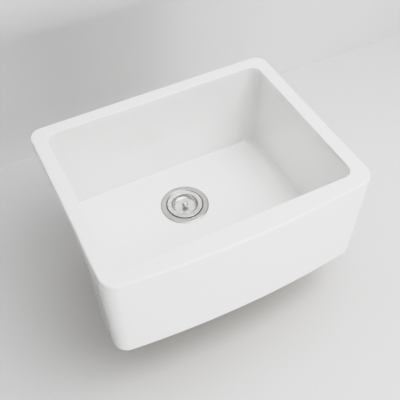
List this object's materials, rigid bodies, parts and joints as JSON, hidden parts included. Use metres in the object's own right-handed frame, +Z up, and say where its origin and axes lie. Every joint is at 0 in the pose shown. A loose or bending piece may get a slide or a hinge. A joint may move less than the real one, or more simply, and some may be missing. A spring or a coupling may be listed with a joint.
{
  "type": "farmhouse apron front sink",
  "caption": "Kitchen sink with a bowed apron front, clamped basket strainer, lift-out waste basket and drain cover.",
  "frame": {"origin": "on the basin's flat underside, where the cabinet's support frame carries it, midway between the sides and 230 mm in front of the rim's back edge", "axes": "+X to the sink's right as its user sees it, +Y from the apron to the wall, +Z up"},
  "size_m": [0.578, 0.4618, 0.4001],
  "materials": {
    "glaze": "gloss white glaze",
    "steel": "brushed",
    "cover_steel": "fine brushed",
    "black_rubber": "matt",
    "fibre": "pressed fibre",
    "cast_brass": "as cast",
    "plated_brass": "bright plated",
    "white_plastic": "moulded"
  },
  "bodies": {
    "sink": {"basin": "glaze", "strainer_body": "steel", "flange_seal": "black_rubber", "sink_gasket": "black_rubber", "friction_ring": "fibre", "locknut": "cast_brass", "tailpiece_washer": "white_plastic", "coupling_nut": "plated_brass", "tailpiece": "plated_brass"},
    "basket": {"waste_basket": "steel", "basket_bar": "steel"},
    "cover": {"drain_cover": "cover_steel", "cover_seal": "black_rubber", "cover_post": "cover_steel", "cover_washer": "cover_steel", "cover_knob": "cover_steel"}
  },
  "joints": [
    {"name": "basket_lift", "type": "slide", "parent": "sink", "child": "basket", "axis": [0, 0, 1], "range_m": [0, 0.3]},
    {"name": "cover_lift", "type": "slide", "parent": "basket", "child": "cover", "axis": [0, 0, 1], "range_m": [0, 0.26]}
  ]
}
